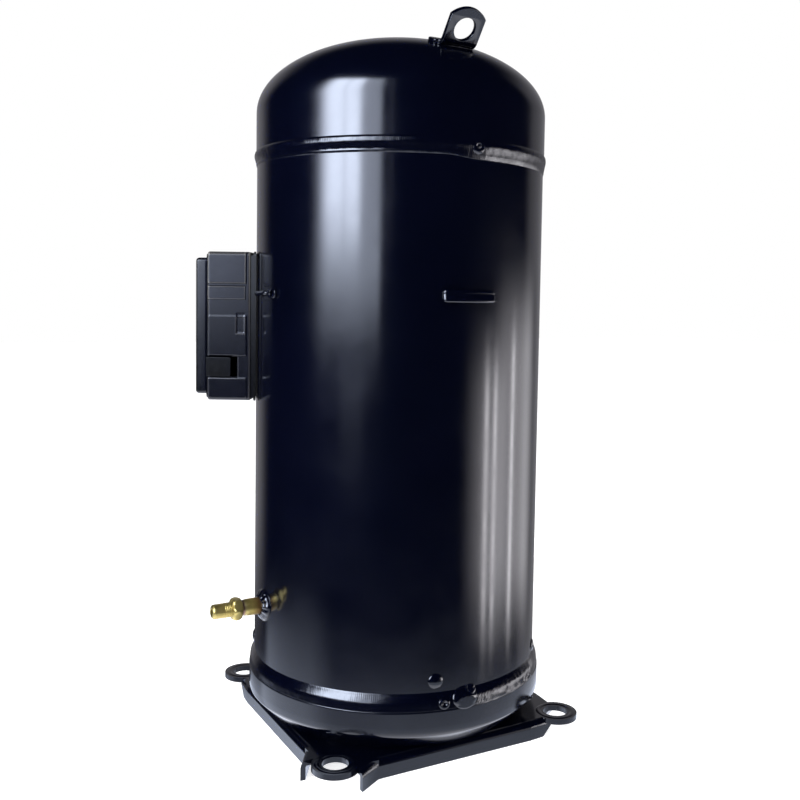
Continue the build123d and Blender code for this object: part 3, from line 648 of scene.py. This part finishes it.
def lifting_lug(paint):
    """Sheet bent up from a flat foot, with an eye and a round crown, and the weld along its root."""
    crown_middle = LUG_CROWN - LUG_CROWN_R
    shoulder = math.degrees(math.acos(LUG_HALF / LUG_CROWN_R))
    wide = -LUG_HALF - 3.6 * MM
    corner = 3 * MM
    outline = [(LUG_HALF, -LUG_FOOT + corner)]
    outline += arc((0, crown_middle), LUG_CROWN_R, shoulder, 180 - shoulder, 28)
    outline += [(-LUG_HALF, 1.0 * MM), (-LUG_HALF - 0.8 * MM, 0.2 * MM), (wide + 1 * MM, 0), (wide, -1 * MM)]
    outline += arc((wide + corner, -LUG_FOOT + corner), corner, 180, 270, 6)
    outline += arc((LUG_HALF - corner, -LUG_FOOT + corner), corner, 270, 360, 6)[:-1]
    eye_middle, eye_r = LUG_EYE
    eye = arc((0, eye_middle), eye_r, 0, 360, 48)[:-1]
    cuts = [-LUG_FOOT * i / 4 for i in range(1, 4)] + [6 * MM * i / 12 for i in range(13)]
    piece = plate("lug_sheet", outline, [eye], LUG_SHEET, 0.45 * MM, cuts)
    place = lug_place()
    for vertex in piece.data.vertices:
        across, along, out = vertex.co
        vertex.co = place @ lug_bend(across, along, -out)
    piece.data.update()
    dress(face_out(piece), paint, "housing", "black_paint", "lifting_lug")
    weld = []
    for i in range(41):
        across = (-18.5 + 33 * i / 40) * MM
        lump = 0.35 * MM * field.noise(Vector((across * 300, 0, 0)))
        sag = across ** 2 / (2 * CAP_R)
        weld.append(place @ Vector((across, -1.5 * MM, -0.35 * MM - sag + lump * 0.3)))
    dress(rod("lug_weld", weld, 1.1 * MM, 10), paint, "housing", "black_paint")


# ---- strap loop and earth stud ----
def strap_loop(paint):
    """Bar bent to the shell, with tapered ends."""
    middle = -92.0
    half = 21.0 * MM
    face = [
        (0, -4.5), (3.3, -4.5), (4.0, -4.3), (4.4, -3.8), (4.5, -3.2), (4.1, -0.6), (3.8, 1.4), (3.8, 1.9),
        (3.95, 3.3), (3.8, 4.0), (3.3, 4.4), (2.6, 4.5), (0, 4.5),
    ]
    sections = []
    steps = 60
    for i in range(steps + 1):
        across = half * (2 * i / steps - 1)
        end = (half - abs(across)) / (3.2 * MM)
        round_off = math.sqrt(max(0.0, 1 - (1 - min(1.0, end + 0.02)) ** 2))
        taller = MM * (0.45 + 0.55 * round_off)
        deeper = MM * (0.2 + 0.8 * round_off)
        sections.append([on_can(middle, STRAP_Z, across, up * taller, out * deeper) for out, up in face])
    dress(loft("strap_bar", sections, 50), paint, "housing", "black_paint", "strap_loop")


def ground_stud(paint):
    """Flat ring tag on the wall beside the terminal box, with a short stem."""
    outline = []
    for i in range(40):
        turn = TAU * i / 40
        x = 6.8 * math.cos(turn)
        y = 4.7 * math.sin(turn) * (1 - 0.45 * (1 - math.cos(turn)) / 2)
        outline.append((x * MM, y * MM))
    hole = [(x + 1.6 * MM, 0.72 * y) for x, y in arc((0, 0), 3.5 * MM, 0, 360, 24)[:-1]]
    tag = plate("earth_tag", outline, [hole], 1.6 * MM, 0.4 * MM)
    for vertex in tag.data.vertices:
        across, up, out = vertex.co
        vertex.co = on_can(187, STRAP_Z, across, up, out + 1.6 * MM)
    tag.data.update()
    dress(face_out(tag), paint, "housing", "black_paint")
    stem = []
    for i in range(25):
        along = (i - 12) * MM
        stem.append(on_can(177, STRAP_Z, along, 0.04 * along, (2.4 - i * 0.05) * MM))
    dress(rod("earth_stem", stem, 2.0 * MM, 14), paint, "housing", "black_paint", "ground_stud")


# ---- access valve ----
VALVE_Z = 102 * MM
HEX = (17.9 * MM, 25.9 * MM)      # hexagon's ends, out from the tube
HEX_FLAT = 7.7 * MM               # half of its width across flats
THREAD = (26.2 * MM, 39.5 * MM)
THREAD_PITCH = 1.27 * MM


def on_valve(radius, out, turn):
    """Point round the valve's axis, out from the tube."""
    return Vector((-SHELL_R - out, -radius * math.cos(turn), VALVE_Z + radius * math.sin(turn)))


def access_valve(brass, paint):
    """Brass body with a hexagon and a flare thread, and the weld round its root."""
    rows = [(2.4, -4.0), (3.95, -4.0), (3.95, 0.3), (6.0, 0.5), (6.3, 1.5), (6.4, 8.0), (6.35, 13.0)]
    rows += [(6.0, 16.0), (5.5, 17.0), (5.4, 17.7), (6.4, 18.0), (7.6, 18.7), (8.4, 19.8), (8.8, 21.0)]
    rows += [(8.9, 22.0), (8.8, 23.0), (8.4, 24.2), (7.6, 25.2), (6.4, 25.8), (5.5, 26.0)]
    rows += [(5.5, 26.4 + 0.16 * i) for i in range(78)]
    rows += [(5.45, 39.1), (5.2, 39.9), (4.7, 40.5), (4.0, 40.9), (3.0, 41.0), (2.4, 40.6)]

    def place(radius, out, turn):
        radius, out = radius * MM, out * MM
        if HEX[0] < out < HEX[1]:
            flat = math.radians((math.degrees(turn) % 60) - 30)
            radius = min(radius, HEX_FLAT / math.cos(flat))
        if THREAD[0] < out < THREAD[1]:
            depth = 0.14 - 0.11 * window(out, 33 * MM, 42 * MM, 2 * MM, 1)
            radius += depth * MM * math.sin(TAU * (out / THREAD_PITCH - turn / TAU))
        return on_valve(radius, out, turn)

    body = lathe("valve_body", rows, 120, place, sharp=50)
    dress(body, brass, "housing", "brass", "access_valve_body")

    def bead(radius, height, turn):
        waves = math.sin(turn * 13 + 2.5 * field.noise(Vector((math.cos(turn), math.sin(turn), 0)) * 2))
        lump = field.noise(Vector((radius * 380, turn * 2.2, 5)))
        swell = (0.22 * waves + 0.35 * lump) * MM if height > 0 else 0.0
        across = -radius * math.cos(turn)
        return on_can(180, VALVE_Z, -across, radius * math.sin(turn), height + swell)

    ring_rows = [(6.0, -0.6), (6.0, 3.6), (6.7, 4.3), (7.6, 4.2), (8.5, 3.5), (9.5, 2.9)]
    ring_rows += [(10.3, 2.6), (11.2, 2.0), (11.9, 1.2), (12.3, 0.3), (12.4, -0.6)]
    collar = lathe("valve_weld", [(r * MM, h * MM) for r, h in ring_rows], 180, bead, sharp=60)
    dress(collar, paint, "housing", "black_paint", "access_valve_collar")


# ---- terminal box ----
BOX_ANGLE = 150
BOX_Z = 315 * MM
BOX_W = 76 * MM
BOX_H = 116 * MM
BOX_BACK = 114 * MM
BOX_FRONT = 147 * MM
BOX_WALL = 2.5 * MM
BOX_CORNER = 3 * MM
COVER_W = 72 * MM
COVER_H = 106 * MM


def on_box(across, up, out):
    """Point in the terminal box's frame: across towards the valve's side, up, and out from the axis."""
    turn = math.radians(BOX_ANGLE)
    ahead = Vector((math.cos(turn), math.sin(turn), 0))
    aside = Vector((-math.sin(turn), math.cos(turn), 0))
    return ahead * out + aside * across + Vector((0, 0, BOX_Z + up))


def rounded_frame(width, height, corner, counts):
    """Closed line round a rectangle with rounded corners: (x, y, outward x, outward y).

    counts are the numbers of steps along an upright side and along a level one.
    """
    half_w, half_h = width / 2 - corner, height / 2 - corner
    line = []
    corners = [(half_w, -half_h, -90), (half_w, half_h, 0), (-half_w, half_h, 90), (-half_w, -half_h, 180)]
    for i, (x, y, start) in enumerate(corners):
        for k in range(7):
            turn = math.radians(start + 15 * k)
            out_x, out_y = math.cos(turn), math.sin(turn)
            line.append((x + corner * out_x, y + corner * out_y, out_x, out_y))
        next_x, next_y, _ = corners[(i + 1) % 4]
        first_x, first_y = line[-1][:2]
        for k in range(1, counts[i % 2]):
            share = k / counts[i % 2]
            line.append((first_x + (next_x - x) * share, first_y + (next_y - y) * share, out_x, out_y))
    return line


# Raised and sunk parts of the box's side walls: distance from the can's axis, height, relief in
# millimetres. The plain wall lies WALL_RECESS inside the outline.
WALL_RECESS = 0.9
WINDOW_OUT = (123.5, 160)
WINDOW_UP = (275.0, 292.0)
SIDE_RELIEF = [
    ((117.3, 160), (348.5, 380), 0.9),
    ((117.8, 160), (336.0, 346.0), 0.75),
    ((116.8, 160), (292.5, 323.0), 0.30),
    ((116.8, 160), (256.0, 274.5), 0.30),
    ((117.5, 125.0), (309.0, 322.0), 0.45),
    ((118.6, 123.9), (310.2, 325.0), -0.30),
    (WINDOW_OUT, WINDOW_UP, -1.5),
]
RELIEF_EDGE = 0.35
LIP_STEPS = 4.2            # sections over which the housing's front edge is rounded


def side_relief(out, height):
    """Relief of the side wall in metres at a distance from the axis and a height."""
    total = -WALL_RECESS
    edge = RELIEF_EDGE
    for (near, far), (low, high), rise in SIDE_RELIEF:
        total += rise * window(out / MM, near, far, edge, edge) * window(height / MM, low, high, edge, edge)
    return max(total, -2.4) * MM


def terminal_housing(plastic):
    """Frame of the box, open at both ends, with its walls' relief."""
    outline = rounded_frame(BOX_W, BOX_H, BOX_CORNER, (240, 40))
    sections = []
    steps = 76
    for i in range(steps + 1):
        out = BOX_BACK + (BOX_FRONT - BOX_BACK) * i / steps
        front = max(0.0, 1 - (steps - i) / LIP_STEPS)
        lip = 0.5 * MM * max(0.0, 1 - i / 1.5) + 1.5 * MM * (1 - math.sqrt(1 - front ** 2))
        section = []
        for x, y, nx, ny in outline:
            relief = side_relief(out, BOX_Z + y) * abs(nx) - lip - 0.25 * MM * abs(ny)
            section.append(on_box(x + nx * relief, y + ny * relief, out))
        sections.append(section)
    for out in (BOX_FRONT, BOX_BACK):
        sections.append([on_box(x - nx * BOX_WALL, y - ny * BOX_WALL, out) for x, y, nx, ny in outline])
    piece = loft("housing_frame", sections, 32, looped=True)
    open_windows(piece)
    dress(piece, plastic, "housing", "box_plastic", "terminal_housing")


def open_windows(piece):
    """Cuts the floor out of the near side's window recess, where the latch arm hooks in."""
    turn = math.radians(BOX_ANGLE)
    work = bmesh.new()
    work.from_mesh(piece.data)
    gone = []
    for face in work.faces:
        spot = face.calc_center_median()
        out = spot.x * math.cos(turn) + spot.y * math.sin(turn)
        across = spot.y * math.cos(turn) - spot.x * math.sin(turn)
        in_window = WINDOW_OUT[0] + 0.5 < out / MM < BOX_FRONT / MM + 1
        in_window = in_window and WINDOW_UP[0] + 0.5 < spot.z / MM < WINDOW_UP[1] - 0.5
        if in_window and BOX_W / 2 - 3 * MM < across < BOX_W / 2 - 1.6 * MM:
            gone.append(face)
    bmesh.ops.delete(work, geom=gone, context="FACES")
    work.to_mesh(piece.data)
    work.free()


def latch_arms(plastic):
    """The cover's two arms, which lie in the windows of the side walls."""
    low, high = 276.2 * MM - BOX_Z, 290.8 * MM - BOX_Z
    near, far, corner = 128.6 * MM, 148 * MM, 1.2 * MM
    outline = arc((near + corner, low + corner), corner, 180, 270, 4) + [(far, low), (far, high)]
    outline += arc((near + corner, high - corner), corner, 90, 180, 4)
    for name, side in (("near", 1), ("far", -1)):
        piece = plate("latch_arm_" + name, outline, [], 1.8 * MM, 0.35 * MM)
        for vertex in piece.data.vertices:
            out, up, across = vertex.co
            vertex.co = on_box(side * (BOX_W / 2 - 1.2 * MM + across), up, out)
        piece.data.update()
        dress(face_out(piece, 12), plastic, "box_cover", "box_plastic")


def terminal_cover(plastic):
    """Lid with a rim and softened edges."""
    counts = (20, 14)
    rim = rounded_frame(BOX_W, BOX_H, BOX_CORNER, counts)
    lid = rounded_frame(COVER_W, COVER_H, BOX_CORNER, counts)
    # each level is a line, how far it grows outward and its distance from the can's axis
    levels = [(lid, -3.0, 154.0), (lid, -2.5, 153.0), (lid, -2.5, 147.0)]
    levels += [(rim, -2.6, 147.0), (rim, -2.3, 147.3), (rim, -2.3, 147.8)]
    levels += [(lid, 0.0, 148.2), (lid, 0.0, 149.5), (lid, -0.05, 154.4), (lid, -0.5, 155.6)]
    levels += [(lid, -1.5, 156.4), (lid, -2.8, 156.5)]
    sections = []
    for outline, grow, out in levels:
        grow *= MM
        sections.append([on_box(x + nx * grow, y + ny * grow, out * MM) for x, y, nx, ny in outline])
    piece = loft("cover_lid", sections, 40)
    even_shading(piece)
    dress(piece, plastic, "box_cover", "box_plastic", "terminal_cover")


# ---- stage ----
def make_floor():
    """Square floor at the level that the can stands on."""
    half = 6.0
    corners = [(-half, -half, 0), (half, -half, 0), (half, half, 0), (-half, half, 0)]
    mesh = bpy.data.meshes.new("floor")
    mesh.from_pydata(corners, [], [(0, 1, 2, 3)])
    floor = bpy.data.objects.new("floor", mesh)
    bpy.context.scene.collection.objects.link(floor)
    floor.data.materials.append(floor_material())
    floor.visible_glossy = False


def make_camera():
    """Camera at the viewing angle, a little above the middle of the can."""
    place = Vector((-0.3712, -0.7006, 0.3404))
    heading = math.radians(62.0849)
    pan = math.radians(1.3039)
    pitch = math.radians(-3.4587)
    roll = math.radians(0.9067)
    ahead = Vector((math.cos(heading), math.sin(heading), 0))
    aside = Vector((math.sin(heading), -math.cos(heading), 0))
    up = Vector((0, 0, 1))
    flat_ahead = ahead * math.cos(pan) + aside * math.sin(pan)
    flat_aside = aside * math.cos(pan) - ahead * math.sin(pan)
    look = flat_ahead * math.cos(pitch) + up * math.sin(pitch)
    top = up * math.cos(pitch) - flat_ahead * math.sin(pitch)
    side = flat_aside * math.cos(roll) + top * math.sin(roll)
    top = top * math.cos(roll) - flat_aside * math.sin(roll)
    camera = bpy.data.objects.new("camera", bpy.data.cameras.new("camera"))
    bpy.context.scene.collection.objects.link(camera)
    camera.matrix_world = Matrix.Translation(place) @ Matrix((side, top, -look)).transposed().to_4x4()
    camera.data.sensor_width = 36
    camera.data.lens = 43.907
    camera.data.shift_x = -0.0250
    camera.data.shift_y = -0.0557
    camera.data.clip_start = 0.01
    bpy.context.scene.camera = camera


# Panels of the soft studio, as seen from the can: direction and height limits in degrees, the
# margins over which each side fades, brightness and colour.
COOL = (0.90, 1.0, 1.22)
NEUTRAL = (1.0, 0.98, 1.03)
PANELS = [
    # left window: bright above, dimmer towards the floor
    ((-170, -163), (14, 4), (7, 38), (4, 10), 15, COOL),
    ((-158, -151), (4, 6), (7, 38), (4, 10), 15, COOL),
    ((-172, -133), (18, 1.5), (3, 38), (6, 10), 5.5, COOL),
    ((-158, -148), (8, 8), (-7, 0), (5, 3), 0.4, COOL),
    ((-126, -124), (1.2, 1.2), (10, 38), (8, 10), 0.45, COOL),
    # right side: a pale wall whose top slopes, with three narrow windows
    ((-44, -30), (24, 12), (-18, -7), (6, 6), 2.5, NEUTRAL),
    ((-26, 2), (14, 20), (-17, -4), (7, 8), 2.3, NEUTRAL),
    ((-45.5, -43.5), (1.2, 1.2), (-20, -5), (4, 2), 11, NEUTRAL),
    ((-36.5, -35), (1.2, 1.2), (-20, -5), (4, 2), 12, NEUTRAL),
    ((-16.5, -14.5), (1.2, 1.2), (-20, -3), (4, 2), 9, NEUTRAL),
    # the pale ground close by, and beneath
    ((-240, 120), (1, 1), (-90, -27.1), (1, 2.2), 1.15, COOL),
    ((-235, -188), (10, 26), (-90, -23.5), (1, 3), 0.9, COOL),
    ((-240, 120), (1, 1), (-90, -44), (1, 8), 1.3, NEUTRAL),
    # behind the can
    ((8, 40), (14, 20), (-20, 26), (20, 24), 0.30, NEUTRAL),
    ((60, 101), (20, 22), (-12, 26), (16, 24), 0.36, NEUTRAL),
]
ROOM = (0.004, 0.005, 0.013)


def studio_light(direction, rise):
    """Colour that the studio shows at a direction and a height angle, in degrees."""
    total = list(ROOM)
    for (start, end), (soft_start, soft_end), (low, high), (soft_low, soft_high), bright, tint in PANELS:
        middle = (start + end) / 2
        near = (direction - middle + 180) % 360 - 180 + middle
        share = window(near, start, end, soft_start, soft_end) * window(rise, low, high, soft_low, soft_high)
        for i in range(3):
            total[i] += share * bright * tint[i]
    return total


def make_studio():
    """Sphere of soft light round the can, which only reflections see."""
    radius = 3.0
    middle = 0.3
    columns = 360
    rises = [-90 + 1.5 * i for i in range(121)]
    vertices = []
    colours = []
    for rise in rises:
        for j in range(columns):
            direction = 360 * j / columns
            flat = radius * math.cos(math.radians(rise))
            vertices.append(polar(flat, direction, middle + radius * math.sin(math.radians(rise))))
            colours.append((*studio_light(direction, rise), 1))
    faces = []
    for i in range(len(rises) - 1):
        for j in range(columns):
            n = (j + 1) % columns
            faces.append((i * columns + j, i * columns + n, (i + 1) * columns + n, (i + 1) * columns + j))
    mesh = bpy.data.meshes.new("studio")
    mesh.from_pydata([tuple(v) for v in vertices], [], faces)
    layer = mesh.color_attributes.new("light", "FLOAT_COLOR", "POINT")
    layer.data.foreach_set("color", [part for colour in colours for part in colour])
    studio = bpy.data.objects.new("studio", mesh)
    bpy.context.scene.collection.objects.link(studio)
    studio.data.materials.append(studio_material())
    studio.visible_camera = False
    studio.visible_diffuse = False
    studio.visible_shadow = False


def studio_material():
    """Glow that takes its colour from the sphere's points."""
    material = bpy.data.materials.new("studio_light")
    material.use_nodes = True
    tree = material.node_tree
    tree.nodes.clear()
    output = tree.nodes.new("ShaderNodeOutputMaterial")
    glow = tree.nodes.new("ShaderNodeEmission")
    source = tree.nodes.new("ShaderNodeAttribute")
    source.attribute_name = "light"
    tree.links.new(source.outputs["Color"], glow.inputs["Color"])
    tree.links.new(glow.outputs["Emission"], output.inputs["Surface"])
    material.cycles.emission_sampling = "NONE"
    return material


def area_light(name, direction, distance, height, size, power, colour=(1, 1, 1)):
    """Soft panel that stands at a direction about the can and faces it, unseen in reflections."""
    lamp = bpy.data.lights.new(name, "AREA")
    lamp.shape = "RECTANGLE"
    lamp.size, lamp.size_y = size
    lamp.energy = power
    lamp.color = colour
    panel = bpy.data.objects.new(name, lamp)
    bpy.context.scene.collection.objects.link(panel)
    panel.location = polar(distance, direction, height)
    target = Vector((0, 0, 0.25))
    panel.rotation_euler = (target - panel.location).to_track_quat("-Z", "Y").to_euler()
    panel.visible_glossy = False
    panel.visible_camera = False
    return panel


def make_world():
    """Plain white behind the object."""
    world = bpy.data.worlds.new("room")
    bpy.context.scene.world = world
    world.use_nodes = True
    backdrop = world.node_tree.nodes["Background"]
    backdrop.inputs["Color"].default_value = (1, 1, 1, 1)
    backdrop.inputs["Strength"].default_value = 1.0
    world.cycles_visibility.glossy = False
    world.cycles_visibility.diffuse = False


def make_lights():
    """Lamps for the dull parts of the finish, which reflections don't show."""
    area_light("left_light", -168, 1.6, 0.7, (0.9, 1.2), 40)
    area_light("right_light", -30, 2.0, 0.5, (1.6, 1.2), 14)
    area_light("top_light", -100, 1.4, 1.9, (1.4, 1.4), 22)
    sky = bpy.data.objects.new("sky_light", bpy.data.lights.new("sky_light", "SUN"))
    sky.data.energy = 1.2
    sky.data.angle = math.radians(120)
    sky.visible_glossy = False
    bpy.context.scene.collection.objects.link(sky)
    bpy.context.scene.view_settings.view_transform = "Standard"


PAINT = black_paint()
PLASTIC = box_plastic("terminal_box_plastic", 1)
# the housing's copy of the plastic carries strong painted edge highlights
EDGE_HIGHLIT_PLASTIC = box_plastic("terminal_box_plastic_edge_highlit", 36)
BRASS = valve_brass()
STEEL = simple_metal("steel", (0.45, 0.45, 0.46), 0.35)
COPPER = simple_metal("copper_plate", (0.60, 0.28, 0.17), 0.32)
IRON = simple_metal("cast_iron", (0.18, 0.18, 0.19), 0.55)
BRONZE = simple_metal("bronze", (0.48, 0.32, 0.14), 0.4)
ALUMINIUM = simple_metal("aluminium", (0.7, 0.7, 0.71), 0.4)
WINDING = simple_metal("winding", (0.45, 0.16, 0.06), 0.35)
RUBBER = simple_metal("rubber", (0.02, 0.02, 0.02), 0.7, metallic=0.0)
SLEEVE = simple_metal("sleeve", (0.5, 0.45, 0.36), 0.8, metallic=0.0)

SLOT_MATERIALS = {
    "black_paint": PAINT,
    "brass": BRASS,
    "box_plastic": PLASTIC,
    "gasket_rubber": RUBBER,
    "steel": STEEL,
    "glass_bead": SLEEVE,
    "copper_plate": COPPER,
    "cast_iron": IRON,
    "bearing_bronze": BRONZE,
    "rotor_aluminium": ALUMINIUM,
    "winding_copper": WINDING,
    "insulation": SLEEVE,
}


def dress_frame():
    """Gives every CAD node the finish of its material slot."""
    for entry in frame["record"]["subparts"]:
        node = frame["nodes"][entry["node"]]
        for slot in node.material_slots:
            slot.material = SLOT_MATERIALS[entry["material_slot"]]


dress_frame()
shell_tube(PAINT)
top_cap(PAINT)
bottom_cap(PAINT)
top_weld_bead(PAINT)
bottom_weld_bead(PAINT)
weld_marks(PAINT)
base_plate(PAINT)
foot_welds(PAINT)
ear_rolls(PAINT)
terminal_base(PLASTIC)
lifting_lug(PAINT)
strap_loop(PAINT)
ground_stud(PAINT)
access_valve(BRASS, PAINT)
terminal_housing(EDGE_HIGHLIT_PLASTIC)
terminal_cover(PLASTIC)
latch_arms(PLASTIC)

make_world()
make_floor()
make_camera()
make_lights()
make_studio()
